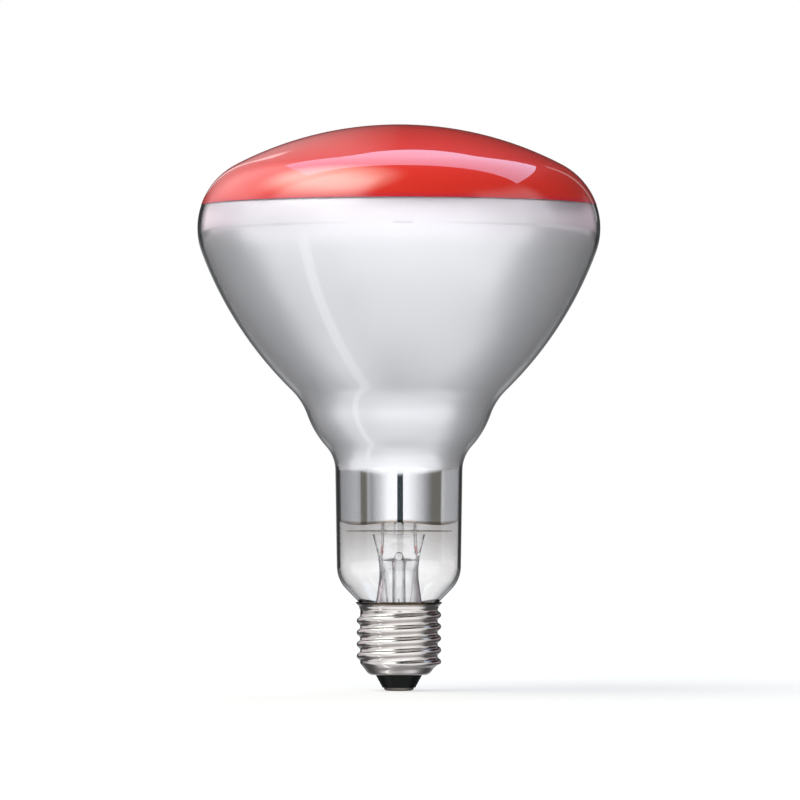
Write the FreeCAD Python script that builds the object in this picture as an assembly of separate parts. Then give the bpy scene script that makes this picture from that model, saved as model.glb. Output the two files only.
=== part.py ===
"""Infrared reflector lamp: blown glass bulb with a red front, mirrored body, glass stem and screw cap.

Millimetres. +Z runs along the lamp's axis from the cap to the red front, and +X to the right as seen from
the front. The origin is the face of the cap's centre contact, on the axis.
"""

import FreeCAD
import Part

import math
import os

from FreeCAD import Vector

# Blown bulb, outside
lamp_length = 175.5
bulb_diameter = 125.0
crown_radius = 109.0
rim_radius = 22.0
reflector_radius = 116.0
waist_radius = 29.6
waist_height = 89.7
waist_fillet = 20.0
collar_arc_radius = 29.6
neck_top_radius = 19.8
neck_top_height = 73.0
neck_fillet = 11.0
knee_radius = 19.2
knee_height = 34.4
knee_fillet = 10.0
glass_wall = 1.0

# Coats on the glass
coat_thickness = 0.2
coat_gap = 0.1
mirror_edge_height = 52.0
red_front_depth = 25.1

# Screw cap, E27, with its rolled thread drawn as a plain zone at the pitch radius
cap_height = 27.4
rim_lip_radius = 13.4
rim_lip_height = 1.3
collar_radius = 12.3
collar_height = 0.8
thread_zone_radius = 12.6
thread_run_in = 0.6
shoulder_height = 9.2
shoulder_foot_radius = 9.2
foot_height = 4.9
foot_hole_radius = 7.3
sheet_thickness = 0.3
lip_bend = 0.6
thread_bend = 0.5
shoulder_bend = 0.8
foot_bend = 2.2
glass_to_rim_gap = 0.7
cement_bottom = 20.8
cement_top = 24.2

# Insulator and centre contact
insulator_tip_radius = 5.1
insulator_top_height = 8.4
insulator_well_radius = 6.0
insulator_well_height = 6.4
insulator_bore_radius = 0.9
contact_radius = 4.6
contact_face_radius = 3.9
contact_bevel_height = 0.4
contact_thickness = 0.95
contact_hole_radius = 0.6
contact_recess_radius = 1.6
contact_recess_depth = 0.5
side_solder_radius = 0.9
fit_gap = 0.05

# Glass stem
seal_height = 20.5
seal_radius = 10.6
seal_fillet = 2.0
stem_wall = 1.0
flare_foot_radius = 7.6
flare_fillet = 2.0
flare_shoulder_radius = 7.1
flare_shoulder_height = 28.0
flare_bend = 20.0
stem_tube_radius = 6.05
stem_tube_height = 37.0
stem_tube_foot = 34.5
press_throat_half_depth = 4.0
press_throat_half_width = 6.3
press_waist_height = 44.0
press_waist_half_width = 7.0
press_waist_half_depth = 2.4
press_top_height = 48.4
press_half_width = 8.2
press_half_depth = 2.0
press_squareness = 2.6
stem_roof_height = 40.2
stem_roof_half_width = 5.6
stem_roof_half_depth = 2.6
exhaust_radius = 2.1
exhaust_wall = 0.8
exhaust_tip_height = 12.0
exhaust_taper_length = 3.0
exhaust_tip_depth = 1.6
vent_radius = 1.1
vent_height = 41.6

# Lead wires
lead_spacing = 10.0
inner_lead_radius = 0.45
centre_lead_radius = 0.3
side_lead_radius = 0.12
seal_wire_bottom = 42.4
seal_wire_top = 44.8
lead_bend = 2.0
outer_lead_bend = 1.0
lead_splay_height = 60.0
outer_lead_spread = 7.2
outer_lead_turn_height = 17.0
side_lead_to_shell = 0.25

# Heat shield
shield_radius = 16.4
shield_height = 49.3
shield_thickness = 0.3
eyelet_flange_radius = 1.2
eyelet_flange_thickness = 0.25
eyelet_wall = 0.25

# Filament and its mount
filament_height = 91.0
filament_ring_radius = 9.5
filament_coil_radius = 0.7
filament_gap_angle = 60.0
filament_gap_middle = 90.0
support_count = 5
support_wire_radius = 0.2
support_reach = 4.5
support_bend = 0.8
support_socket_radius = 1.4
arbor_radius = 1.6
button_height = 78.0
button_radius = 3.0
button_half_height = 2.0
button_edge = 1.0
clamp_length = 2.4
clamp_wall = 0.3

AXIS = Vector(0, 0, 1)
ORIGIN = Vector(0, 0, 0)
LONG = 500.0
MARGIN = 1.0


def at(radius, height):
    """A point of a profile in the XZ half-plane."""
    return Vector(radius, 0, height)


def line(a, b):
    return Part.LineSegment(a, b).toShape()


def spun(edges):
    """The solid of revolution of a closed profile."""
    return Part.Face(Part.Wire(edges)).revolve(ORIGIN, AXIS, 360)


def turned(*corners):
    """The solid of revolution of a polygon given as (radius, height) corners."""
    points = [at(*corner) for corner in corners]
    return spun([line(a, b) for a, b in zip(points, points[1:] + points[:1])])


def rod(radius, low, high):
    return Part.makeCylinder(radius, high - low, at(0, low), AXIS)


def slab(low, high):
    return rod(LONG, low, high)


def rounded_edges(points, radii):
    """Straight runs through the points, with an arc of the given radius at each inner corner."""
    edges = []
    here = points[0]
    for i, radius in enumerate(radii, 1):
        corner = points[i]
        back = (points[i - 1] - corner).normalize()
        ahead = (points[i + 1] - corner).normalize()
        half = back.getAngle(ahead) / 2
        reach = radius / math.tan(half)
        middle = corner + (back + ahead).normalize() * (radius / math.sin(half) - radius)
        edges.append(line(here, corner + back * reach))
        edges.append(Part.Arc(corner + back * reach, middle, corner + ahead * reach).toShape())
        here = corner + ahead * reach
    edges.append(line(here, points[-1]))
    return edges


def wire_along(points, bend, radius):
    """A round wire bent through the points."""
    path = Part.Wire(rounded_edges(points, [bend] * (len(points) - 2)))
    section = Part.Wire(Part.Circle(points[0], points[1] - points[0], radius).toShape())
    return path.makePipeShell([section], True, False)


def moved_corners(corners, inset):
    """The corners of an outline that runs downwards, moved inwards square to its sides."""
    sides = []
    for a, b in zip(corners, corners[1:]):
        normal, offset = line_through(a, b)
        sides.append((normal, offset - inset))
    inner = [lines_meet(*a, *b) for a, b in zip(sides, sides[1:])]
    first, last = sides[0][0], sides[-1][0]
    return [corners[0] - first * inset] + inner + [corners[-1] - last * inset]


def moved_outline(corners, bends, inset):
    """Edges of an outline that runs downwards, moved inwards: its bends keep their centres."""
    radii = []
    for i, bend in enumerate(bends, 1):
        before = corners[i] - corners[i - 1]
        after = corners[i + 1] - corners[i]
        outwards = before.x * after.z - before.z * after.x > 0
        radii.append(bend + inset if outwards else bend - inset)
    return rounded_edges(moved_corners(corners, inset), radii)


def circles_meet(centre_a, radius_a, centre_b, radius_b, side):
    """Where two circles of the XZ plane cross, on the left (+1) or right (-1) of the line from a to b."""
    step = centre_b - centre_a
    gap = step.Length
    along = (gap * gap + radius_a**2 - radius_b**2) / (2 * gap)
    across = math.sqrt(radius_a**2 - along**2)
    forward = step / gap
    left = Vector(-forward.z, 0, forward.x)
    return centre_a + forward * along + left * (across * side)


def line_through(upper, lower):
    """A straight stretch of the outline as (outward normal, offset)."""
    down = (lower - upper).normalize()
    normal = Vector(-down.z, 0, down.x)
    return normal, normal.dot(upper)


def lines_meet(normal_a, offset_a, normal_b, offset_b):
    det = normal_a.x * normal_b.z - normal_a.z * normal_b.x
    x = (offset_a * normal_b.z - offset_b * normal_a.z) / det
    z = (normal_a.x * offset_b - normal_b.x * offset_a) / det
    return at(x, z)


def fillet_on_line(circle, circle_radius, normal, offset, fillet):
    """Centre of a concave fillet between a convex arc and a straight stretch below it."""
    across = offset + fillet - circle.dot(normal)
    along = math.sqrt((circle_radius + fillet) ** 2 - across**2)
    return circle + normal * across + Vector(normal.z, 0, -normal.x) * along


def mouth_radius():
    """Outside radius of the glass at the cap's rim, which it clears by the stated gap."""
    return rim_lip_radius - sheet_thickness - glass_to_rim_gap


def bulb_elements():
    """The outline from crown to seal as arcs (centre, signed radius) and lines (normal, offset).

    A convex arc has a positive radius and a concave one a negative radius, and each element is tangent to
    the next.
    """
    crown_top = lamp_length - coat_gap - coat_thickness
    crown = at(0, crown_top - crown_radius)
    rim_out = bulb_diameter / 2 - rim_radius
    rim = at(rim_out, crown.z + math.sqrt((crown_radius - rim_radius) ** 2 - rim_out**2))
    waist = at(waist_radius, waist_height)
    neck_top = at(neck_top_radius, neck_top_height)
    knee = at(knee_radius, knee_height)
    mouth = at(mouth_radius(), cap_height)
    reflector = circles_meet(rim, reflector_radius - rim_radius, waist, reflector_radius, -1)
    collar = circles_meet(waist, collar_arc_radius, neck_top, collar_arc_radius, -1)
    waist_hollow = circles_meet(
        reflector, reflector_radius + waist_fillet, collar, collar_arc_radius + waist_fillet, 1
    )
    neck = line_through(neck_top, knee)
    cone = line_through(knee, mouth)
    seal = (Vector(1, 0, 0), seal_radius)
    neck_hollow = fillet_on_line(collar, collar_arc_radius, *neck, neck_fillet)
    knee_round = lines_meet(neck[0], neck[1] - knee_fillet, cone[0], cone[1] - knee_fillet)
    seal_hollow = lines_meet(cone[0], cone[1] + seal_fillet, seal[0], seal[1] + seal_fillet)
    return [
        (crown, crown_radius),
        (rim, rim_radius),
        (reflector, reflector_radius),
        (waist_hollow, -waist_fillet),
        (collar, collar_arc_radius),
        (neck_hollow, -neck_fillet),
        neck,
        (knee_round, knee_fillet),
        cone,
        (seal_hollow, -seal_fillet),
        seal,
    ]


STRAIGHT = (6, 8, 10)


def bulb_body(inset, bottom):
    """The solid inside the bulb's outline, moved inwards by inset, down to the height bottom."""
    elements = bulb_elements()
    normals = [Vector(0, 0, 1)]
    for i in range(len(elements) - 1):
        if i in STRAIGHT:
            normals.append(elements[i][0])
        elif i + 1 in STRAIGHT:
            normals.append(elements[i + 1][0])
        else:
            (centre_a, radius_a), (centre_b, radius_b) = elements[i], elements[i + 1]
            normals.append((centre_a - centre_b) / (radius_b - radius_a))
    edges = []
    last = None
    for i, (centre, radius) in enumerate(elements):
        if i in STRAIGHT:
            continue
        first, second = normals[i], normals[i + 1]
        middle = (first + second).normalize()
        start, half, end = (centre + n * (radius - inset) for n in (first, middle, second))
        if last is not None and (start - last).Length > 1e-6:
            edges.append(line(last, start))
        edges.append(Part.Arc(start, half, end).toShape())
        last = end
    top = edges[0].Vertexes[0].Point
    edges.append(line(last, at(last.x, bottom)))
    edges.append(line(at(last.x, bottom), at(0, bottom)))
    edges.append(line(at(0, bottom), top))
    return spun(edges)


def glass_envelope():
    return bulb_body(0, seal_height).cut(bulb_body(glass_wall, seal_height - MARGIN))


def red_edge_height():
    return lamp_length - red_front_depth


def mirror_coat():
    outside = glass_wall + coat_gap
    coat = bulb_body(outside, seal_height).cut(bulb_body(outside + coat_thickness, seal_height - MARGIN))
    return coat.common(slab(mirror_edge_height, red_edge_height()))


def red_front_coat():
    outside = -coat_gap - coat_thickness
    coat = bulb_body(outside, seal_height).cut(bulb_body(-coat_gap, seal_height - MARGIN))
    return coat.common(slab(red_edge_height(), LONG))


def cap_corners():
    """Corners of the cap's outside from the rim's lip down to the axis."""
    collar_top = cap_height - rim_lip_height
    collar_foot = collar_top - collar_height
    return [
        at(rim_lip_radius, cap_height),
        at(collar_radius, collar_top),
        at(collar_radius, collar_foot),
        at(thread_zone_radius, collar_foot - thread_run_in),
        at(thread_zone_radius, shoulder_height),
        at(shoulder_foot_radius, foot_height),
        at(0, foot_height),
    ]


def cap_body(inset):
    """The solid inside the cap's outline, moved inwards by inset."""
    bends = [lip_bend, thread_bend, thread_bend, shoulder_bend, foot_bend]
    edges = moved_outline(cap_corners(), bends, inset)
    lip, foot = edges[0].Vertexes[0].Point, edges[-1].Vertexes[1].Point
    mouth = at(0, lip.z)
    edges.append(line(foot, mouth))
    edges.append(line(mouth, lip))
    return spun(edges)


def cap_shell():
    sheet = cap_body(0).cut(cap_body(sheet_thickness))
    hole = rod(foot_hole_radius, foot_height - MARGIN, foot_height + MARGIN)
    return sheet.cut(hole).common(slab(foot_height, cap_height))


def cap_insulator():
    """Moulded in the cap's foot: a flange inside the shell, and a cone that stands out of its hole."""
    neck = foot_hole_radius - fit_gap
    flange = cap_body(sheet_thickness + fit_gap).common(slab(foot_height, insulator_top_height))
    cone = turned(
        (0, contact_thickness),
        (insulator_tip_radius, contact_thickness),
        (neck, foot_height),
        (neck, insulator_well_height),
        (0, insulator_well_height),
    )
    well = rod(insulator_well_radius, insulator_well_height, insulator_top_height + MARGIN)
    bore = rod(insulator_bore_radius, 0, insulator_top_height)
    return flange.fuse(cone).cut(well).cut(bore).removeSplitter()


def centre_contact():
    recess_top = contact_recess_depth
    return turned(
        (contact_recess_radius, 0),
        (contact_face_radius, 0),
        (contact_radius, contact_bevel_height),
        (contact_radius, contact_thickness),
        (contact_hole_radius, contact_thickness),
        (contact_hole_radius, recess_top),
    )


def contact_solder():
    """Fills the contact's recess and hole round the end of the centre lead."""
    drop = turned(
        (0, 0),
        (contact_recess_radius - fit_gap, 0),
        (contact_hole_radius - fit_gap, contact_recess_depth),
        (contact_hole_radius - fit_gap, contact_thickness),
        (0, contact_thickness),
    )
    return drop.cut(rod(centre_lead_radius + fit_gap, contact_recess_depth / 2, contact_thickness + MARGIN))


def stem_outline():
    return [
        at(stem_tube_radius, stem_tube_height),
        at(stem_tube_radius, stem_tube_foot),
        at(flare_shoulder_radius, flare_shoulder_height),
        at(flare_foot_radius, seal_height),
        at(seal_radius, seal_height),
    ]


def stem_flare():
    """Glass tube that spreads like a trumpet to the rim on which the bulb's neck is fused."""
    bends = [flare_bend, flare_bend, flare_fillet]
    outside = moved_outline(stem_outline(), bends, 0)
    inside = moved_outline(stem_outline(), bends, stem_wall)
    outer_rim, inner_rim = outside[-1].Vertexes[1].Point, inside[-1].Vertexes[1].Point
    outer_top, inner_top = outside[0].Vertexes[0].Point, inside[0].Vertexes[0].Point
    inside.reverse()
    return spun(outside + [line(outer_rim, inner_rim)] + inside + [line(inner_top, outer_top)])


def round_ring(radius, height):
    return Part.Wire(Part.Circle(at(0, height), AXIS, radius).toShape())


def flattened_ring(half_width, half_depth, squareness, height):
    """A closed superellipse: an ellipse at a squareness of 2, and nearer to a rectangle above it."""
    count = 24
    points = []
    for i in range(count):
        turn = 2 * math.pi * i / count
        c, s = math.cos(turn), math.sin(turn)
        x = half_width * math.copysign(abs(c) ** (2 / squareness), c)
        y = half_depth * math.copysign(abs(s) ** (2 / squareness), s)
        points.append(Vector(x, y, height))
    ring = Part.BSplineCurve()
    ring.interpolate(Points=points, PeriodicFlag=True)
    return Part.Wire(ring.toShape())


def glass_stem():
    """Flare and press in one: the tube's end is squeezed flat round the lead wires while it is soft."""
    press = Part.makeLoft(
        [
            round_ring(stem_tube_radius, stem_tube_height),
            flattened_ring(press_throat_half_width, press_throat_half_depth, 2, stem_roof_height),
            flattened_ring(
                press_waist_half_width, press_waist_half_depth, press_squareness, press_waist_height
            ),
            flattened_ring(press_half_width, press_half_depth, press_squareness, press_top_height),
        ],
        True,
    )
    bore_radius = stem_tube_radius - stem_wall
    throat = Part.makeLoft(
        [
            round_ring(bore_radius, stem_tube_height),
            flattened_ring(stem_roof_half_width, stem_roof_half_depth, 2, stem_roof_height),
        ],
        True,
    )
    stem = press.cut(throat).fuse(stem_flare()).removeSplitter()
    vent_bore = exhaust_radius - exhaust_wall
    vent_rise = rod(vent_bore, stem_roof_height - fit_gap, vent_height)
    vent = Part.makeCylinder(vent_radius, LONG, Vector(0, 0, vent_height), Vector(0, -1, 0))
    stem = stem.cut(vent_rise).cut(vent)
    for side, radius in ((-1, centre_lead_radius), (1, side_lead_radius)):
        x = side * lead_spacing / 2
        for size, low, high in (
            (radius, stem_roof_height - MARGIN, seal_wire_bottom),
            (inner_lead_radius, seal_wire_bottom, press_top_height + MARGIN),
        ):
            stem = stem.cut(Part.makeCylinder(size + fit_gap, high - low, Vector(x, 0, low), AXIS))
    return stem


def exhaust_tube():
    """Open at its top into the vent, and melted shut to a tip inside the cap."""
    bore = exhaust_radius - exhaust_wall
    shoulder = exhaust_tip_height + exhaust_taper_length
    return turned(
        (0, exhaust_tip_height),
        (exhaust_radius, shoulder),
        (exhaust_radius, stem_roof_height),
        (bore, stem_roof_height),
        (bore, shoulder),
        (0, exhaust_tip_height + exhaust_tip_depth),
    )


def ring_start():
    """First angle of the filament's ring, in degrees: its gap is at the back."""
    return filament_gap_middle + filament_gap_angle / 2


def on_ring(angle, radius, height):
    return Vector(radius * math.cos(angle), radius * math.sin(angle), height)


def ring_section(radius):
    """A round face that stands on the filament's ring, in the XZ plane."""
    circle = Part.Circle(at(filament_ring_radius, filament_height), Vector(0, 1, 0), radius)
    return Part.Face(Part.Wire(circle.toShape()))


def along_ring(face, first, sweep):
    """The face spun along the filament's ring from one angle, in degrees."""
    solid = face.revolve(ORIGIN, AXIS, sweep)
    solid.rotate(ORIGIN, AXIS, first)
    return solid


def filament():
    """The coil's envelope: a ring open at the back between the two leads."""
    return along_ring(ring_section(filament_coil_radius), ring_start(), 360 - filament_gap_angle)


def clamp_span():
    return math.degrees(clamp_length / filament_ring_radius)


def clamp_start(side):
    """First angle of a lead's clamp, which closes over the last stretch of the coil."""
    return ring_start() - filament_gap_angle - clamp_span() if side > 0 else ring_start()


def clamp_round(side, radius):
    return along_ring(ring_section(radius), clamp_start(side), clamp_span())


def lead_clamp(side):
    outside = filament_coil_radius + fit_gap + clamp_wall
    return clamp_round(side, outside).cut(clamp_round(side, filament_coil_radius + fit_gap))


def inner_lead(side):
    """From the press up through the heat shield, then back to the filament's clamp."""
    x = side * lead_spacing / 2
    middle = math.radians(clamp_start(side) + clamp_span() / 2)
    lead = wire_along(
        [
            Vector(x, 0, seal_wire_top),
            Vector(x, 0, lead_splay_height),
            on_ring(middle, filament_ring_radius, filament_height),
        ],
        lead_bend,
        inner_lead_radius,
    )
    seat = filament_coil_radius + clamp_wall + 2 * fit_gap
    return lead.cut(clamp_round(side, seat))


def seal_wire(side):
    """Copper-clad wire that seals in the press between the inner and outer lead."""
    base = Vector(side * lead_spacing / 2, 0, seal_wire_bottom)
    return Part.makeCylinder(inner_lead_radius, seal_wire_top - seal_wire_bottom, base, AXIS)


def outer_lead_centre():
    """Down the stem, past the exhaust tube's tip and through the insulator to the contact."""
    x = -lead_spacing / 2
    low = -outer_lead_spread / 2
    return wire_along(
        [
            Vector(x, 0, seal_wire_bottom),
            Vector(x, 0, stem_roof_height - outer_lead_bend),
            Vector(low, 0, flare_shoulder_height),
            Vector(low, 0, outer_lead_turn_height),
            Vector(0, 0, insulator_top_height + outer_lead_bend),
            Vector(0, 0, contact_recess_depth / 2),
        ],
        outer_lead_bend,
        centre_lead_radius,
    )


def side_lead_route():
    """Points from the press, under the flare's rim and up the back of the shell's sheet to its lip."""
    x = lead_spacing / 2
    low = outer_lead_spread / 2
    lip, collar = moved_corners(cap_corners(), sheet_thickness + side_lead_to_shell)[:2]
    return [
        Vector(x, 0, seal_wire_bottom),
        Vector(x, 0, stem_roof_height - outer_lead_bend),
        Vector(low, 0, flare_shoulder_height),
        Vector(low, 0, outer_lead_turn_height),
        Vector(0, collar.x, outer_lead_turn_height),
        Vector(0, collar.x, collar.z),
        Vector(0, lip.x, lip.z),
    ]


def outer_lead_side():
    return wire_along(side_lead_route(), outer_lead_bend, side_lead_radius)


def side_lead_room():
    return wire_along(side_lead_route()[-3:], outer_lead_bend, side_lead_radius + fit_gap)


def side_solder():
    """A drop on the rim's edge that holds the side lead to the shell."""
    drop = Part.makeSphere(side_solder_radius, Vector(0, rim_lip_radius - sheet_thickness, cap_height))
    drop = drop.common(slab(cap_height, LONG))
    return drop.cut(bulb_body(-fit_gap, seal_height)).cut(side_lead_room())


def basing_cement():
    """Set between the shell and the bulb's neck, round the side lead."""
    ring = cap_body(sheet_thickness + fit_gap).common(slab(cement_bottom, cement_top))
    return ring.cut(bulb_body(-fit_gap, seal_height - MARGIN)).cut(side_lead_room())


def support_angle(number):
    """Supports share the ring evenly between its two ends."""
    share = number / (support_count + 1)
    return math.radians(ring_start() + (360 - filament_gap_angle) * share)


def support_route(number):
    angle = support_angle(number)
    loop = filament_coil_radius + fit_gap + support_wire_radius
    return [
        on_ring(angle, support_socket_radius, button_height),
        on_ring(angle, support_reach, button_height),
        on_ring(angle, filament_ring_radius, filament_height - loop),
    ]


def filament_support(number):
    """Wire from the button to the coil, with an eye at its end through which the coil runs."""
    angle = support_angle(number)
    wire = wire_along(support_route(number), support_bend, support_wire_radius)
    eye = Part.makeTorus(
        filament_coil_radius + fit_gap + support_wire_radius,
        support_wire_radius,
        on_ring(angle, filament_ring_radius, filament_height),
        Vector(-math.sin(angle), math.cos(angle), 0),
    )
    tunnel = ring_section(filament_coil_radius + fit_gap).revolve(ORIGIN, AXIS, 360)
    return wire.fuse(eye).cut(tunnel)


def arbor():
    """Glass rod on the press, with a button at its top that holds the support wires."""
    shaft = rod(arbor_radius, press_top_height, button_height)
    low = button_height - button_half_height
    high = button_height + button_half_height
    button = turned(
        (0, low),
        (button_radius - button_edge, low),
        (button_radius, low + button_edge),
        (button_radius, high - button_edge),
        (button_radius - button_edge, high),
        (0, high),
    )
    glass = shaft.fuse(button).removeSplitter()
    for number in range(1, support_count + 1):
        socket, reach = support_route(number)[:2]
        out = reach - socket
        glass = glass.cut(Part.makeCylinder(support_wire_radius + fit_gap, out.Length, socket, out))
    return glass


def eyelet_radius():
    return inner_lead_radius + fit_gap + eyelet_wall


def heat_shield():
    disc = rod(shield_radius, shield_height, shield_height + shield_thickness)
    disc = disc.cut(rod(arbor_radius + fit_gap, shield_height - MARGIN, shield_height + MARGIN))
    for side in (-1, 1):
        base = Vector(side * lead_spacing / 2, 0, shield_height - MARGIN)
        disc = disc.cut(Part.makeCylinder(eyelet_radius() + fit_gap, 2 * MARGIN, base, AXIS))
    return disc


def shield_eyelet(side):
    """Hollow rivet through the shield, closed on the lead wire."""
    low = shield_height - eyelet_flange_thickness
    high = shield_height + shield_thickness
    eyelet = rod(eyelet_radius(), low, high + eyelet_flange_thickness)
    for height in (low, high):
        eyelet = eyelet.fuse(rod(eyelet_flange_radius, height, height + eyelet_flange_thickness))
    eyelet = eyelet.removeSplitter()
    eyelet = eyelet.cut(rod(inner_lead_radius + fit_gap, low - MARGIN, high + MARGIN))
    eyelet.translate(Vector(side * lead_spacing / 2, 0, 0))
    return eyelet


def nodes():
    pieces = {
        "glass_envelope": glass_envelope(),
        "mirror_coat": mirror_coat(),
        "red_front_coat": red_front_coat(),
        "glass_stem": glass_stem(),
        "exhaust_tube": exhaust_tube(),
        "arbor": arbor(),
        "heat_shield": heat_shield(),
        "filament": filament(),
        "outer_lead_centre": outer_lead_centre(),
        "outer_lead_side": outer_lead_side(),
        "cap_shell": cap_shell(),
        "cap_insulator": cap_insulator(),
        "centre_contact": centre_contact(),
        "contact_solder": contact_solder(),
        "side_solder": side_solder(),
        "basing_cement": basing_cement(),
    }
    for name, side in (("left", -1), ("right", 1)):
        pieces["shield_eyelet_" + name] = shield_eyelet(side)
        pieces["inner_lead_" + name] = inner_lead(side)
        pieces["seal_wire_" + name] = seal_wire(side)
        pieces["lead_clamp_" + name] = lead_clamp(side)
    for number in range(1, support_count + 1):
        pieces["filament_support_" + str(number)] = filament_support(number)
    return pieces


def single(shape):
    """The one solid that a piece is made of."""
    return shape.Solids[0] if len(shape.Solids) == 1 else shape


def main():
    os.makedirs("parts", exist_ok=True)
    for name, shape in nodes().items():
        single(shape).exportStep(os.path.join("parts", name + ".step"))


main()
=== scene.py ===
"""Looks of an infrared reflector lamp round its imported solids.

Metres, with +Z from the cap to the red front.
"""

import math

import bpy
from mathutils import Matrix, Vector


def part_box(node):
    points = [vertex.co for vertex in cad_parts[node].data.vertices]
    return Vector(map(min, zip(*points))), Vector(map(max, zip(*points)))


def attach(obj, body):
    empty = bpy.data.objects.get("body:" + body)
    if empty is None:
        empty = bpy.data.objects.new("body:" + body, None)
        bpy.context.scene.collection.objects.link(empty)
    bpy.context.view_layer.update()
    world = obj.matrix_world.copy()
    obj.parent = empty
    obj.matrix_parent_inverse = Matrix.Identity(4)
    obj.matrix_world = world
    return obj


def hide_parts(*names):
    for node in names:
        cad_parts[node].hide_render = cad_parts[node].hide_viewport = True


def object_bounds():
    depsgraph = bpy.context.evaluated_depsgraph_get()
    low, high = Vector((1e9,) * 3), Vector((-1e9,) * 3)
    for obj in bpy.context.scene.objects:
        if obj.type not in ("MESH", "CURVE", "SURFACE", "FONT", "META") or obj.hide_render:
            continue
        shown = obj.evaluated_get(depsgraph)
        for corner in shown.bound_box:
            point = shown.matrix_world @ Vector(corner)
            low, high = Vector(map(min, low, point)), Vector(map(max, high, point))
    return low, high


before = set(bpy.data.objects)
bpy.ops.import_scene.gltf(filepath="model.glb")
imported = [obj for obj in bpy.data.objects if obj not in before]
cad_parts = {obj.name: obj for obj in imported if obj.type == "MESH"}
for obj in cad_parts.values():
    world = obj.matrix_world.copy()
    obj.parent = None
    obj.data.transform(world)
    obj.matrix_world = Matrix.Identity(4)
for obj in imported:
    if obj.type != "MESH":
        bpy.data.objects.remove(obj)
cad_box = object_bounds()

MM = 0.001

# Bulb outline, the same arcs as the glass solid
bulb_radius = 62.5 * MM
crown_radius = 109.0 * MM
rim_radius = 22.0 * MM
reflector_radius = 116.0 * MM
waist = Vector((29.6, 89.7)) * MM
waist_fillet = 20.0 * MM
collar_arc_radius = 29.6 * MM
neck_top = Vector((19.8, 73.0)) * MM
neck_fillet = 11.0 * MM
knee = Vector((19.2, 34.4)) * MM
knee_fillet = 10.0 * MM
mouth = Vector((12.4, 27.4)) * MM
seal_radius = 10.6 * MM
seal_fillet = 2.0 * MM
glass_wall = 1.0 * MM
glass_steps = 160
outline_step = 1.1 * MM

# Coats
film_gap = 0.02 * MM
film_thickness = 0.06 * MM
mirror_overlap = 1.6 * MM
satin_edge_height = 68.3 * MM
satin_fade = 1.8 * MM
# How far below the red front the mirror's pink painted red light reaches
painted_red_light_reach = 16.0 * MM
mirror_edge_height = 52.0 * MM
mirror_edge_tilt = 0.35 * MM
mirror_edge_wave = 0.58 * MM
# Where the grey on the neck glass begins: a metal trace with painted dark reflection
neck_grey_bottom = 33.0 * MM

# Cap with its rolled thread
thread_pitch = 3.629 * MM
crest_radius = 13.1 * MM
thread_arc_radius = 1.025 * MM
crest_height = 16.2 * MM
first_crest = 7.2 * MM
full_crest = 8.9 * MM
last_full_crest = 23.6 * MM
last_crest = 25.0 * MM
sheet_thickness = 0.3 * MM
collar_radius = 12.3 * MM
lip_radius = 13.4 * MM
lip_height = 1.5 * MM
collar_foot = 24.9 * MM
collar_round = 0.9 * MM
shoulder_top = Vector((12.6, 9.2)) * MM
shoulder_corner = Vector((9.2, 4.9)) * MM
shoulder_round = 2.2 * MM
foot_hole_radius = 7.3 * MM
cement_gap = 0.05 * MM

# Filament coil
coil_ring_radius = 9.5 * MM
coil_radius = 0.58 * MM
coil_wire_radius = 0.12 * MM
coil_turns = 92
coil_start, coil_end = math.radians(120), math.radians(420)

# Camera, from the ellipses of the red edge and the cap's rim in the photo
camera_distance = 1.945
camera_height = 61.2 * MM
aim_height = 90.1 * MM
aim_side = 0.34 * MM
view_width = 248.2 * MM
sensor_width = 36.0

# Floor
floor_half = 4.0
floor_drop = 0.05 * MM
floor_shine = 0.59

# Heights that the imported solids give
lamp_length = cad_box[1].z
red_edge_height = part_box("red_front_coat")[0].z
cap_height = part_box("cap_shell")[1].z
seal_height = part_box("glass_envelope")[0].z


# Outline of the bulb

def meet(a, radius_a, b, radius_b, side):
    """Where two circles cross, on the left (+1) or right (-1) of the line from a to b."""
    step = b - a
    gap = step.length
    along = (gap * gap + radius_a**2 - radius_b**2) / (2 * gap)
    across = math.sqrt(radius_a**2 - along**2)
    forward = step / gap
    return a + forward * along + Vector((-forward.y, forward.x)) * across * side


def side_line(upper, lower):
    """A straight stretch as (outward normal, offset)."""
    down = (lower - upper).normalized()
    normal = Vector((-down.y, down.x))
    return normal, normal.dot(upper)


def cross_lines(a, offset_a, b, offset_b):
    det = a.x * b.y - a.y * b.x
    return Vector(((offset_a * b.y - offset_b * a.y) / det, (a.x * offset_b - b.x * offset_a) / det))


def bulb_elements():
    """Arcs as (centre, signed radius, None) and straight stretches as (None, None, normal), top to bottom."""
    crown_top = lamp_length - film_gap - film_thickness
    crown = Vector((0, crown_top - crown_radius))
    reach = bulb_radius - rim_radius
    rim = Vector((reach, crown.y + math.sqrt((crown_radius - rim_radius) ** 2 - reach**2)))
    reflector = meet(rim, reflector_radius - rim_radius, waist, reflector_radius, -1)
    collar = meet(waist, collar_arc_radius, neck_top, collar_arc_radius, -1)
    hollow = meet(reflector, reflector_radius + waist_fillet, collar, collar_arc_radius + waist_fillet, 1)
    neck, neck_offset = side_line(neck_top, knee)
    cone, cone_offset = side_line(knee, mouth)
    out = Vector((1, 0))
    across = neck_offset + neck_fillet - collar.dot(neck)
    along = math.sqrt((collar_arc_radius + neck_fillet) ** 2 - across**2)
    neck_hollow = collar + neck * across + Vector((neck.y, -neck.x)) * along
    knee_round = cross_lines(neck, neck_offset - knee_fillet, cone, cone_offset - knee_fillet)
    seal_hollow = cross_lines(cone, cone_offset + seal_fillet, out, seal_radius + seal_fillet)
    return [
        (crown, crown_radius, None),
        (rim, rim_radius, None),
        (reflector, reflector_radius, None),
        (hollow, -waist_fillet, None),
        (collar, collar_arc_radius, None),
        (neck_hollow, -neck_fillet, None),
        (None, None, neck),
        (knee_round, knee_fillet, None),
        (None, None, cone),
        (seal_hollow, -seal_fillet, None),
        (None, None, out),
    ]


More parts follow.
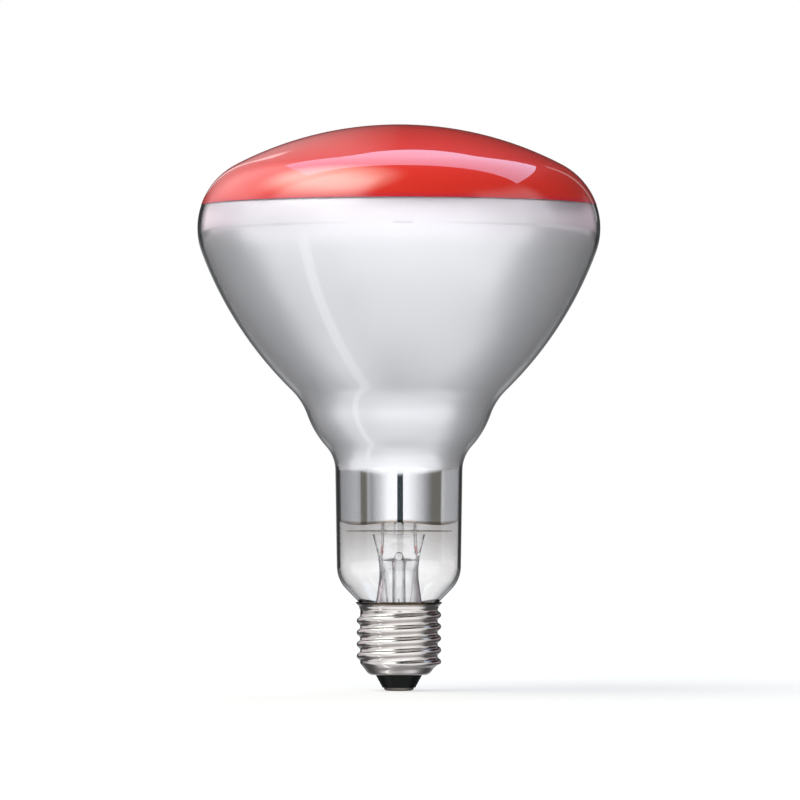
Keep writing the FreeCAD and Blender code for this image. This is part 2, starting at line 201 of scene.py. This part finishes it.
def bulb_outline(inset):
    """Points of the outline moved inwards, from the crown down to the seal."""
    elements = bulb_elements()
    normals = [Vector((0, 1))]
    for (a, radius_a, normal_a), (b, radius_b, normal_b) in zip(elements, elements[1:]):
        normals.append(normal_a or normal_b or (a - b) / (radius_b - radius_a))
    points = []
    for i, (centre, radius, straight) in enumerate(elements):
        if straight:
            continue
        first = math.atan2(normals[i].y, normals[i].x)
        last = math.atan2(normals[i + 1].y, normals[i + 1].x)
        count = max(5, math.ceil(abs(last - first) * abs(radius) / outline_step))
        for k in range(count + 1):
            turn = first + (last - first) * k / count
            point = centre + Vector((math.cos(turn), math.sin(turn))) * (radius - inset)
            if not points or (point - points[-1]).length > outline_step / 50:
                points += straight_run(points, point)
    points += straight_run(points, Vector((points[-1].x, seal_height)))
    points[0].x = 0
    return points


def straight_run(points, target):
    """Points from the last one to the target, no further apart than three steps."""
    if not points:
        return [target]
    count = max(1, math.ceil((target - points[-1]).length / (3 * outline_step)))
    return [points[-1].lerp(target, (k + 1) / count) for k in range(count)]


def between(points, low, high):
    """The stretch of an outline between two heights, with its ends cut exactly there."""
    kept = [points[0]] if low <= points[0].y <= high else []
    for a, b in zip(points, points[1:]):
        for level in (high, low):
            if (a.y - level) * (b.y - level) < 0:
                kept.append(a.lerp(b, (a.y - level) / (a.y - b.y)))
        if low <= b.y <= high:
            kept.append(b)
    return kept


# Mesh building

def turned_mesh(name, section, steps):
    """A closed mesh round the Z axis, where section(angle) lists a closed loop of (radius, height)."""
    vertices = []
    rows = []
    poles = {}
    for k in range(steps):
        angle = 2 * math.pi * k / steps
        row = []
        for i, (radius, height) in enumerate(section(angle)):
            if radius < 1e-9:
                if i not in poles:
                    poles[i] = len(vertices)
                    vertices.append((0, 0, height))
                row.append(poles[i])
                continue
            row.append(len(vertices))
            vertices.append((radius * math.cos(angle), radius * math.sin(angle), height))
        rows.append(row)
    count = len(rows[0])
    faces = []
    for k in range(steps):
        here, there = rows[k], rows[(k + 1) % steps]
        for i in range(count):
            j = (i + 1) % count
            if i in poles and j in poles:
                continue
            face = [here[i], here[j], there[j], there[i]]
            faces.append([v for n, v in enumerate(face) if v not in face[:n]])
    return finished_mesh(name, vertices, faces)


def finished_mesh(name, vertices, faces):
    mesh = bpy.data.meshes.new(name)
    mesh.from_pydata([tuple(v) for v in vertices], [], faces)
    mesh.validate()
    mesh.update()
    piece = bpy.data.objects.new(name, mesh)
    bpy.context.scene.collection.objects.link(piece)
    return piece


def smooth(piece, angle=40):
    """Smooth shading that keeps edges sharper than the angle."""
    for polygon in piece.data.polygons:
        polygon.use_smooth = True
    piece.data.set_sharp_from_angle(angle=math.radians(angle))


def outwards(piece):
    """Turns the faces so that a closed mesh has a positive volume."""
    volume = 0
    mesh = piece.data
    mesh.calc_loop_triangles()
    for triangle in mesh.loop_triangles:
        a, b, c = (mesh.vertices[i].co for i in triangle.vertices)
        volume += a.dot(b.cross(c))
    if volume < 0:
        mesh.flip_normals()


def dress(piece, material, node, angle=40):
    """Gives a new piece its material, CAD node, slot and body."""
    outwards(piece)
    smooth(piece, angle)
    piece.data.materials.append(material)
    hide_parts(node)
    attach(piece, "root")


# Shader helpers

class Graph:
    """Adds shader nodes by type, with inputs by name as values or as the outputs of other nodes."""

    def __init__(self, tree):
        self.tree = tree
        tree.nodes.clear()

    def add(self, kind, inputs=None, **settings):
        node = self.tree.nodes.new(kind)
        for key, value in settings.items():
            setattr(node, key, value)
        for key, value in (inputs or {}).items():
            if isinstance(value, bpy.types.NodeSocket):
                self.tree.links.new(value, node.inputs[key])
            else:
                node.inputs[key].default_value = value
        return node

    def math(self, operation, *values):
        return self.add("ShaderNodeMath", dict(enumerate(values)), operation=operation).outputs[0]

    def ramp(self, factor, stops):
        """A colour that runs straight from each (position, colour) stop to the next."""
        node = self.add("ShaderNodeValToRGB", {"Fac": factor})
        elements = node.color_ramp.elements
        while len(elements) < len(stops):
            elements.new(0.5)
        for element, (position, colour) in zip(elements, stops):
            element.position = position
        for element, (position, colour) in zip(elements, stops):
            element.color = (*colour, 1)
        return node.outputs["Color"]

    def mix(self, factor, a, b):
        node = self.add("ShaderNodeMix", {"Factor": factor}, data_type="RGBA")
        for socket, value in ((node.inputs[6], a), (node.inputs[7], b)):
            if isinstance(value, bpy.types.NodeSocket):
                self.tree.links.new(value, socket)
            else:
                socket.default_value = (*value, 1)
        return node.outputs[2]

    def rise(self, value, low, high):
        """0 below low and 1 above high, with a smooth step between them."""
        node = self.add("ShaderNodeMapRange", {"Value": value}, interpolation_type="SMOOTHSTEP")
        node.inputs["From Min"].default_value = low
        node.inputs["From Max"].default_value = high
        return node.outputs["Result"]


def material(name):
    made = bpy.data.materials.new(name)
    made.use_nodes = True
    return made, Graph(made.node_tree)


def finish(graph, shader):
    graph.add("ShaderNodeOutputMaterial", {"Surface": shader.outputs[0]})


def position(graph):
    return graph.add("ShaderNodeTexCoord").outputs["Object"]


def noise(graph, scale, detail=3.0, stretch=(1, 1, 1)):
    """Noise over the surface, with its scale in cells to a metre."""
    mapping = graph.add("ShaderNodeMapping", {"Vector": position(graph), "Scale": stretch})
    inputs = {"Vector": mapping.outputs[0], "Scale": scale, "Detail": detail}
    return graph.add("ShaderNodeTexNoise", inputs).outputs["Fac"]


def bump(graph, height, strength, distance):
    inputs = {"Height": height, "Strength": strength, "Distance": distance}
    return graph.add("ShaderNodeBump", inputs).outputs[0]


# Materials

def glass_shader(graph, tint, ripple):
    """Clear glass with the faint waves that its blowing or drawing leaves."""
    waves = noise(graph, 60, 2.0, (1, 1, 0.35))
    return graph.add(
        "ShaderNodeBsdfPrincipled",
        {
            "Base Color": graph.mix(waves, tint, graph.mix(0.5, tint, (1.0, 1.0, 1.0))),
            "Roughness": 0.0,
            "IOR": 1.5,
            "Transmission Weight": 1.0,
            "Normal": bump(graph, waves, ripple, 0.2 * MM),
        },
    )


def bulb_material():
    """Clear glass, greyed on the neck below the mirror: partly a trace of the mirror's metal, partly painted
    dark reflection, heaviest at the back.
    """
    made, graph = material("bulb_clear_glass")
    axes = graph.add("ShaderNodeSeparateXYZ", {"Vector": position(graph)}).outputs
    climb = graph.rise(axes["Z"], neck_grey_bottom, mirror_edge_height)
    below = graph.math("LESS_THAN", axes["Z"], mirror_edge_height + mirror_edge_wave)
    # Painted dark reflection: the grey is weighted to the back of the neck, with a fifth of it at the front.
    back = graph.math("MULTIPLY_ADD", graph.rise(axes["Y"], -4 * MM, 8 * MM), 0.8, 0.2)
    metal_trace_and_painted_shade = graph.math("MULTIPLY", graph.math("MULTIPLY", climb, below), back)
    finish(graph, glass_shader(graph, graph.mix(metal_trace_and_painted_shade, (0.94, 0.94, 0.945), (0.36, 0.34, 0.335)), 0.02))
    return made


def stem_material():
    """Thick drawn glass, with painted shade that darkens it towards its outlines."""
    made, graph = material("stem_clear_glass")
    facing = graph.add("ShaderNodeLayerWeight", {"Blend": 0.5}).outputs["Facing"]
    # Painted shade: the colour goes dark where the surface turns away from the camera.
    tint = graph.mix(graph.rise(facing, 0.05, 0.70), (0.97, 0.972, 0.975), (0.10, 0.11, 0.12))
    finish(graph, glass_shader(graph, tint, 0.04))
    return made


def mirror_material():
    """Aluminium film: satin on the reflector, polished on the neck, brown along its lower edge, and pink with
    painted red light below the red front.
    """
    made, graph = material("mirror_film")
    height = graph.add("ShaderNodeSeparateXYZ", {"Vector": position(graph)}).outputs["Z"]
    cloud = noise(graph, 45, 4.0)
    ragged = graph.math("MULTIPLY_ADD", cloud, 1.2 * MM, height)
    satin = graph.rise(ragged, satin_edge_height, satin_edge_height + satin_fade)
    clean = graph.mix(cloud, (0.93, 0.932, 0.94), (0.96, 0.962, 0.965))
    # Painted red light: the film turns pink towards the red front's edge, for light coming through the red
    # glass.
    painted_red_light = graph.rise(height, red_edge_height - painted_red_light_reach, red_edge_height)
    pink = graph.mix(painted_red_light, clean, (0.96, 0.89, 0.93))
    edge = graph.add("ShaderNodeAttribute", attribute_name="edge").outputs["Fac"]
    tone = graph.mix(satin, (0.54, 0.542, 0.547), pink)
    colour = graph.mix(graph.rise(edge, 0.15, 1.2), (0.22, 0.17, 0.12), tone)
    satin_roughness = graph.math("MULTIPLY_ADD", cloud, 0.06, 0.52)
    roughness = graph.math("MULTIPLY_ADD", graph.math("SUBTRACT", satin_roughness, 0.05), satin, 0.05)
    shader = graph.add(
        "ShaderNodeBsdfPrincipled",
        {"Base Color": colour, "Metallic": 1.0, "Roughness": roughness},
    )
    finish(graph, shader)
    return made


def red_material():
    """Red stain on the glass: deep, slightly uneven, under a clear gloss."""
    made, graph = material("red_film")
    cloud = noise(graph, 22, 3.0)
    height = graph.add("ShaderNodeSeparateXYZ", {"Vector": position(graph)}).outputs["Z"]
    stain = graph.mix(cloud, (0.58, 0.020, 0.012), (0.63, 0.030, 0.018))
    edge = graph.rise(height, red_edge_height + 0.2 * MM, red_edge_height + 1.6 * MM)
    shader = graph.add(
        "ShaderNodeBsdfPrincipled",
        {
            "Base Color": graph.mix(edge, (0.54, 0.020, 0.030), stain),
            "Roughness": graph.math("MULTIPLY_ADD", cloud, 0.08, 0.36),
            "Specular IOR Level": 0.05,
            "Coat Weight": 1.0,
            "Coat Roughness": 0.0,
            "Coat IOR": 1.7,
        },
    )
    finish(graph, shader)
    return made


def cap_material():
    """Nickel plate, bright on the thread, with painted shade in dark brown along the rim."""
    made, graph = material("nickel_plate")
    height = graph.add("ShaderNodeSeparateXYZ", {"Vector": position(graph)}).outputs["Z"]
    fine = noise(graph, 1500, 3.0, (1, 1, 4))
    stain = noise(graph, 160, 4.0)
    plate = graph.mix(stain, (0.42, 0.395, 0.375), (0.58, 0.55, 0.53))
    # Painted shade: the lip's top goes near black-brown, with a ragged lower edge.
    rim = graph.math("MULTIPLY_ADD", stain, 0.5 * MM, height)
    painted_lip_shade = graph.rise(rim, cap_height - 0.75 * MM, cap_height - 0.1 * MM)
    shader = graph.add(
        "ShaderNodeBsdfPrincipled",
        {
            "Base Color": graph.mix(painted_lip_shade, plate, (0.055, 0.038, 0.02)),
            "Metallic": 1.0,
            "Roughness": graph.math("MULTIPLY_ADD", stain, 0.10, 0.05),
            "Normal": bump(graph, fine, 0.03, 0.05 * MM),
        },
    )
    finish(graph, shader)
    return made


def metal_material(name, dark, light, roughness, grain, depth=0.1):
    """Worked metal: its tone varies over a fine grain and a few larger stains."""
    made, graph = material(name)
    fine = noise(graph, grain)
    stain = noise(graph, 140, 4.0)
    blend = graph.math("MULTIPLY", graph.math("ADD", fine, stain), 0.5)
    shader = graph.add(
        "ShaderNodeBsdfPrincipled",
        {
            "Base Color": graph.mix(blend, dark, light),
            "Metallic": 1.0,
            "Roughness": graph.math("MULTIPLY_ADD", stain, 0.12, roughness - 0.06),
            "Normal": bump(graph, fine, depth, 0.05 * MM),
        },
    )
    finish(graph, shader)
    return made


def dull_material(name, dark, light, roughness, grain, level=0.5):
    """Cement, ceramic or mica: grainy, not metal, with a gloss of the given level."""
    made, graph = material(name)
    fine = noise(graph, grain, 5.0)
    shader = graph.add(
        "ShaderNodeBsdfPrincipled",
        {
            "Base Color": graph.mix(fine, dark, light),
            "Roughness": graph.math("MULTIPLY_ADD", fine, 0.1, roughness - 0.05),
            "Specular IOR Level": level,
            "Normal": bump(graph, fine, 0.2, 0.05 * MM),
        },
    )
    finish(graph, shader)
    return made


# Pieces

def make_bulb():
    loop = bulb_outline(0) + bulb_outline(glass_wall)[::-1]
    piece = turned_mesh("bulb_glass", lambda angle: loop, glass_steps)
    dress(piece, bulb_material(), "glass_envelope")


def mirror_edge(angle):
    """Height of the mirror's lower edge: it dips at the diagonals and rises at the sides."""
    tilt = mirror_edge_tilt * math.cos(2 * angle)
    return mirror_edge_height + tilt + mirror_edge_wave * math.cos(4 * angle)


def make_mirror():
    top = red_edge_height + mirror_overlap
    foot = mirror_edge_height + 3 * (mirror_edge_tilt + mirror_edge_wave)
    outer, inner = (
        between(bulb_outline(glass_wall + film_gap + depth), foot, top) for depth in (0, film_thickness)
    )

    down = (knee - neck_top) / (neck_top.y - knee.y)

    def section(angle):
        drops = [(foot - mirror_edge(angle)) * share for share in (0.4, 0.7, 0.88, 1)]
        outer_foot = [outer[-1] + down * drop for drop in drops]
        inner_foot = [inner[-1] + down * drop for drop in reversed(drops)]
        return outer + outer_foot + inner_foot + inner[::-1]

    piece = turned_mesh("mirror_lining", section, glass_steps)
    edge = piece.data.attributes.new("edge", "FLOAT", "POINT")
    for vertex in piece.data.vertices:
        low = mirror_edge(math.atan2(vertex.co.y, vertex.co.x))
        edge.data[vertex.index].value = (vertex.co.z - low) / MM
    dress(piece, mirror_material(), "mirror_coat")


def make_red_front():
    outer, inner = (
        between(bulb_outline(-film_gap - depth), red_edge_height, 1) for depth in (film_thickness, 0)
    )
    loop = outer + inner[::-1]
    piece = turned_mesh("red_front", lambda angle: loop, glass_steps)
    dress(piece, red_material(), "red_front_coat")


def smooth_step(share):
    share = min(1.0, max(0.0, share))
    return share * share * (3 - 2 * share)


def thread_relief(height, angle):
    """Rolled thread over its root: arcs of one radius, which fade in and out at the thread's ends."""
    turn = angle / (2 * math.pi)
    crest = crest_height + thread_pitch * (round((height - crest_height) / thread_pitch - turn) + turn)
    from_crest = abs(height - crest)
    depth = crest_radius - thread_root_radius()
    if from_crest < thread_pitch / 4:
        relief = depth - thread_arc_radius + math.sqrt(thread_arc_radius**2 - from_crest**2)
    else:
        relief = thread_arc_radius - math.sqrt(thread_arc_radius**2 - (thread_pitch / 2 - from_crest) ** 2)
    run_in = smooth_step((last_crest - crest) / (last_crest - last_full_crest))
    run_out = smooth_step((crest - first_crest) / (full_crest - first_crest))
    return relief * min(run_in, run_out)


def thread_root_radius():
    rise = math.sqrt((2 * thread_arc_radius) ** 2 - (thread_pitch / 2) ** 2)
    return crest_radius - 2 * thread_arc_radius + rise


def shell_outline(angle):
    """Outside of the cap's sheet at an angle, from the rim's lip down to the hole in its foot."""
    down = (shoulder_corner - shoulder_top).normalized()
    slant = math.atan2(-down.x, -down.y)
    reach = shoulder_round * math.tan((math.pi / 2 - slant) / 2)
    arc_top = shoulder_corner - down * reach
    arc_centre = Vector((shoulder_corner.x - reach, shoulder_corner.y + shoulder_round))
    points = []
    lip_steps = 8
    for i in range(lip_steps):
        share = i / lip_steps
        radius = collar_radius + (lip_radius - collar_radius) * (1 - smooth_step(share))
        points.append((radius, cap_height - lip_height * share))
    top = cap_height - lip_height
    steps = 130
    for i in range(steps + 1):
        height = top - (top - arc_top.y) * i / steps
        root = thread_root_radius()
        collar = smooth_step((height - collar_foot) / collar_round)
        shoulder = arc_top.x - down.x / down.y * (arc_top.y - height)
        plain = min(root + (collar_radius - root) * collar, shoulder)
        points.append((plain + thread_relief(height, angle), height))
    arc_steps = 8
    for i in range(1, arc_steps + 1):
        turn = slant + (math.pi / 2 - slant) * i / arc_steps
        out, sunk = shoulder_round * math.cos(turn), shoulder_round * math.sin(turn)
        points.append((arc_centre.x + out, arc_centre.y - sunk))
    points.append((foot_hole_radius, shoulder_corner.y))
    return points


def inside_of(points, thickness):
    """The outline moved inwards, square to the sheet."""
    inner = []
    for i, (radius, height) in enumerate(points):
        before = points[max(i - 1, 0)]
        after = points[min(i + 1, len(points) - 1)]
        run, drop = after[0] - before[0], before[1] - after[1]
        size = math.hypot(run, drop)
        inner.append((radius - thickness * drop / size, height - thickness * run / size))
    return inner


def make_cap_shell():
    def section(angle):
        outside = shell_outline(angle)
        return outside + inside_of(outside, sheet_thickness)[::-1]

    piece = turned_mesh("cap_thread", section, 180)
    dress(piece, cap_material(), "cap_shell", 50)


def make_cement():
    """The cement between the glass and the inside of the thread."""
    low, high = (corner.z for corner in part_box("basing_cement"))
    glass = between(bulb_outline(-cement_gap), low, high)

    def section(angle):
        sheet = [Vector(p) for p in inside_of(shell_outline(angle), sheet_thickness + cement_gap)]
        steps = 24
        outer = []
        for i in range(steps + 1):
            height = high - (high - low) * i / steps
            near = min(sheet, key=lambda p: abs(p.y - height))
            outer.append(Vector((near.x, height)))
        return outer + glass[::-1]

    piece = turned_mesh("cement_ring", section, 96)
    cement = dull_material("cement", (0.30, 0.24, 0.18), (0.46, 0.38, 0.30), 0.9, 900)
    dress(piece, cement, "basing_cement")


def make_filament():
    """The coil's wire as a helix round the ring, open at the back."""
    low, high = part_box("filament")
    ring_height = (low.z + high.z) / 2
    steps_per_turn = 14
    sides = 6
    vertices = []
    total = coil_turns * steps_per_turn
    for k in range(total + 1):
        along = coil_start + (coil_end - coil_start) * k / total
        turn = 2 * math.pi * k / steps_per_turn
        out = Vector((math.cos(along), math.sin(along), 0))
        up = Vector((0, 0, 1))
        spoke = out * math.cos(turn) + up * math.sin(turn)
        forward = Vector((-math.sin(along), math.cos(along), 0))
        centre = out * coil_ring_radius + up * ring_height + spoke * coil_radius
        for j in range(sides):
            a = 2 * math.pi * j / sides
            vertices.append(centre + (spoke * math.cos(a) + forward * math.sin(a)) * coil_wire_radius)
    faces = [list(range(sides))[::-1], [total * sides + j for j in range(sides)]]
    for k in range(total):
        for j in range(sides):
            n = (j + 1) % sides
            faces.append([k * sides + j, k * sides + n, (k + 1) * sides + n, (k + 1) * sides + j])
    piece = finished_mesh("filament_coil", vertices, faces)
    tungsten = metal_material("tungsten_wire", (0.16, 0.16, 0.17), (0.30, 0.30, 0.31), 0.35, 4000)
    dress(piece, tungsten, "filament")
    return tungsten


def dress_nodes(tungsten):
    """Materials for the CAD nodes that stay."""
    stem = stem_material()
    mica = dull_material("shield_mica", (0.30, 0.24, 0.18), (0.52, 0.46, 0.38), 0.35, 700)
    nickel = metal_material("nickel_wire", (0.34, 0.32, 0.30), (0.55, 0.53, 0.50), 0.25, 3000)
    copper = metal_material("copper_wire", (0.26, 0.065, 0.045), (0.44, 0.14, 0.09), 0.25, 3000)
    black = dull_material("black_insulator", (0.003, 0.004, 0.003), (0.010, 0.012, 0.010), 0.25, 500, 0.1)
    # Painted shade: the centre contact's metal is made near black, as it lies in shade under the cap.
    contact = metal_material("contact_plate_painted_shade", (0.05, 0.045, 0.04), (0.15, 0.13, 0.11), 0.35, 1500)
    solder = metal_material("solder", (0.30, 0.30, 0.30), (0.50, 0.50, 0.49), 0.35, 1500, 0.3)
    wanted = {
        "glass_stem": stem,
        "exhaust_tube": stem,
        "arbor": stem,
        "heat_shield": mica,
        "shield_eyelet": nickel,
        "inner_lead": nickel,
        "lead_clamp": nickel,
        "seal_wire": copper,
        "outer_lead": nickel,
        "filament_support": tungsten,
        "cap_insulator": black,
        "centre_contact": contact,
        "contact_solder": solder,
        "side_solder": solder,
    }
    for name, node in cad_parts.items():
        if node.hide_render:
            continue
        found = next(made for start, made in wanted.items() if name.startswith(start))
        node.data.materials.clear()
        node.data.materials.append(found)
        smooth(node, 35)


# Studio

def make_floor():
    """White paper that keeps the lamp's shadow, and shines by itself for the camera only."""
    level = cad_box[0].z - floor_drop
    signs = [(-1, -1), (1, -1), (1, 1), (-1, 1)]
    corners = [(x * floor_half, y * floor_half, level) for x, y in signs]
    floor = finished_mesh("floor", corners, [[0, 1, 2, 3]])
    made, graph = material("floor_paper")
    tone = graph.mix(noise(graph, 40, 2.0), (0.305, 0.285, 0.275), (0.315, 0.295, 0.285))
    paper = graph.add("ShaderNodeBsdfDiffuse", {"Color": tone})
    camera_ray = graph.add("ShaderNodeLightPath").outputs["Is Camera Ray"]
    strength = graph.math("MULTIPLY", camera_ray, floor_shine)
    shine = graph.add("ShaderNodeEmission", {"Color": (1, 1, 1, 1), "Strength": strength})
    finish(graph, graph.add("ShaderNodeAddShader", {0: paper.outputs[0], 1: shine.outputs[0]}))
    floor.data.materials.append(made)
    floor.visible_glossy = False
    floor.visible_transmission = False


class Sky:
    """Paints cards on the studio's sphere: azimuth from the camera's side, + to the right, and elevation."""

    def __init__(self, graph):
        self.graph = graph
        self.colour = None
        self.direction = graph.add("ShaderNodeTexCoord").outputs["Generated"]
        axes = graph.add("ShaderNodeSeparateXYZ", {"Vector": self.direction}).outputs
        self.x, self.y, self.z = (axes[n] for n in "XYZ")
        self.azimuth = self.degrees(graph.math("ARCTAN2", self.x, graph.math("MULTIPLY", self.y, -1.0)))
        self.aside = graph.math("ABSOLUTE", self.azimuth)
        self.elevation = self.degrees(graph.math("ARCSINE", self.z))

    def degrees(self, turn):
        return self.graph.math("MULTIPLY", turn, 180 / math.pi)

    def cosine_to(self, target):
        """Cosine of the angle between the view's direction on the sphere and a target's."""
        inputs = {0: self.direction, 1: Vector(target).normalized()}
        return self.graph.add("ShaderNodeVectorMath", inputs, operation="DOT_PRODUCT").outputs["Value"]

    def window(self, value, low, high, soft):
        """1 between two angles, with soft ends."""
        into = self.graph.rise(value, low - soft, low + soft)
        out = self.graph.rise(value, high - soft, high + soft)
        return self.graph.math("MULTIPLY", into, self.graph.math("SUBTRACT", 1.0, out))

    def paint(self, mask, tone):
        self.colour = self.graph.mix(mask, self.colour, tone)

    def card(self, low, high, bottom, top, soft, tone):
        across = self.window(self.azimuth, low, high, soft)
        self.paint(self.graph.math("MULTIPLY", across, self.window(self.elevation, bottom, top, soft)), tone)

    def ring(self, left, right, bottom, top, soft):
        """Tones by azimuth on each side, given as (degrees, tone) stops."""
        share = self.graph.math("DIVIDE", self.aside, 180.0)
        sides = [self.graph.ramp(share, [(a / 180, tone) for a, tone in stops]) for stops in (left, right)]
        both = self.graph.mix(self.graph.math("LESS_THAN", self.x, 0.0), sides[1], sides[0])
        self.paint(self.window(self.elevation, bottom, top, soft), both)

    def strip(self, across, half, bottom, top, tone):
        """A long strip light on the left, along the great circle square to a direction."""
        off = self.degrees(self.graph.math("ARCSINE", self.cosine_to(across)))
        along = self.window(self.elevation, bottom, top, 8.0)
        mask = self.graph.math("MULTIPLY", self.window(off, -half, half, 0.8), along)
        left = self.graph.math("SUBTRACT", 1.0, self.graph.rise(self.x, -0.3, 0.0))
        self.paint(self.graph.math("MULTIPLY", mask, left), tone)

    def box_overhead(self, tone):
        """A box light on the ceiling above and behind the lamp, with its long sides bowed."""
        graph = self.graph
        u = graph.math("DIVIDE", self.x, self.z)
        v = graph.math("DIVIDE", self.y, self.z)
        near = graph.math("MULTIPLY_ADD", graph.math("MULTIPLY_ADD", u, -0.13, 0.08), u, 0.21)
        far = graph.math("MULTIPLY_ADD", graph.math("MULTIPLY_ADD", u, 0.30, 0.38), u, 0.93)
        left = graph.math("MULTIPLY_ADD", v, 0.127, -0.599)
        right = graph.math("MULTIPLY_ADD", v, -0.33, 1.0)
        sides = [
            graph.math("GREATER_THAN", self.z, 0.0),
            graph.math("GREATER_THAN", v, near),
            graph.math("LESS_THAN", v, far),
            graph.math("GREATER_THAN", u, left),
            graph.math("LESS_THAN", u, right),
        ]
        mask = sides[0]
        for side in sides[1:]:
            mask = graph.math("MULTIPLY", mask, side)
        self.paint(mask, tone)

    def glow(self, towards, spread, bottom, tone):
        """A round light that fades over the given angle, and below an elevation."""
        graph = self.graph
        near = graph.rise(self.cosine_to(towards), math.cos(math.radians(spread)), 1.0)
        above = graph.rise(self.elevation, bottom - 14.0, bottom + 14.0)
        inputs = {0: tone, "Scale": graph.math("MULTIPLY", near, above)}
        light = graph.add("ShaderNodeVectorMath", inputs, operation="SCALE").outputs[0]
        both = graph.add("ShaderNodeVectorMath", {0: self.colour, 1: light}, operation="ADD")
        self.colour = both.outputs[0]


def grey(tone):
    return (tone, tone * 1.01, tone * 1.04)


def make_studio_light():
    """The studio as a world: soft boxes before the lamp, dark flags beside it, one box overhead."""
    world = bpy.data.worlds.new("studio")
    bpy.context.scene.world = world
    world.use_nodes = True
    graph = Graph(world.node_tree)
    sky = Sky(graph)
    brown, black = (0.27, 0.255, 0.22), (0.035, 0.035, 0.035)
    below = graph.mix(graph.rise(sky.elevation, -66.0, -36.0), grey(0.50), grey(0.12))
    sky.colour = graph.mix(graph.rise(sky.elevation, -10.0, 8.0), below, grey(0.04))
    left = [
        (0, grey(1.96)), (20, grey(1.89)), (37, grey(1.08)), (46, grey(0.77)), (53, grey(0.52)),
        (60, grey(0.73)), (64, brown), (75, brown), (79, grey(0.70)), (91, grey(0.77)),
        (116, grey(0.56)), (134, grey(0.42)), (142, black), (162, black), (176, grey(0.40)),
    ]
    right = [
        (0, grey(1.89)), (14, grey(1.85)), (25, grey(1.57)), (41, grey(0.98)), (50, grey(0.66)),
        (60, grey(0.35)), (67, brown), (85, brown), (89, grey(0.96)), (97, grey(0.77)),
        (125, grey(0.60)), (140, grey(0.45)), (147, black), (164, black), (176, grey(0.40)),
    ]
    sky.card(-176.0, -95.0, 12.0, 62.0, 6.0, grey(0.45))
    sky.card(-150.0, -98.0, 18.0, 62.0, 12.0, grey(1.40))
    sky.card(-190.0, -158.0, -60.0, -12.0, 7.0, grey(0.45))
    sky.card(158.0, 190.0, -60.0, -12.0, 7.0, grey(0.45))
    sky.card(-169.8, -168.2, 8.0, 28.0, 0.8, grey(1.50))
    sky.card(157.5, 160.5, 4.0, 30.0, 1.0, grey(0.50))
    sky.card(-88.0, -24.0, 20.0, 72.0, 9.0, grey(1.90))
    sky.card(-150.0, -80.0, -1.0, 13.0, 6.0, (1.20, 1.00, 1.07))
    sky.card(86.0, 152.0, -1.0, 13.0, 6.0, (0.56, 0.44, 0.49))
    sky.card(52.0, 100.0, 2.0, 42.0, 8.0, grey(0.95))
    sky.card(-104.0, 82.0, -20.0, 28.0, 9.0, grey(1.25))
    sky.card(-94.0, 79.0, -54.0, -7.0, 14.0, grey(1.58))
    sky.card(-110.0, 106.0, -78.0, -48.0, 14.0, grey(1.13))
    sky.card(-96.0, -36.0, -60.0, -32.0, 16.0, grey(0.84))
    sky.card(-46.0, 55.0, -24.0, 27.0, 14.0, grey(1.90))
    sky.ring(left, right, -3.0, 0.4, 0.4)
    sky.card(-3.2, 7.9, -3.0, 0.4, 0.4, (0.05, 0.075, 0.085))
    sky.strip((0.58, -0.776, -0.251), 3.0, -75.0, -20.0, grey(1.90))
    sky.box_overhead((1.60, 2.10, 2.90))
    sky.glow((-0.54, -0.15, 0.83), 37.0, 43.0, (4.3, 5.0, 4.3))
    paths = graph.add("ShaderNodeLightPath").outputs
    straight = graph.math("LESS_THAN", graph.math("ADD", paths["Glossy Depth"], paths["Diffuse Depth"]), 0.5)
    through = graph.math("MULTIPLY", paths["Is Transmission Ray"], straight)
    seen = graph.math("MAXIMUM", paths["Is Camera Ray"], through)
    colour = graph.mix(seen, sky.colour, (1.0, 1.0, 1.0))
    background = graph.add("ShaderNodeBackground", {"Color": colour, "Strength": 1.0})
    graph.add("ShaderNodeOutputWorld", {"Surface": background.outputs[0]})


def make_camera():
    data = bpy.data.cameras.new("camera")
    camera = bpy.data.objects.new("camera", data)
    bpy.context.scene.collection.objects.link(camera)
    camera.location = (aim_side, -camera_distance, camera_height)
    aim = Vector((aim_side, 0, aim_height)) - camera.location
    camera.rotation_euler = aim.to_track_quat("-Z", "Y").to_euler()
    data.sensor_width = sensor_width
    data.lens = sensor_width * aim.length / view_width
    data.clip_start, data.clip_end = 0.01, 50.0
    bpy.context.scene.camera = camera


bpy.context.scene.view_settings.view_transform = "Standard"
make_bulb()
make_mirror()
make_red_front()
make_cap_shell()
make_cement()
dress_nodes(make_filament())
make_floor()
make_studio_light()
make_camera()
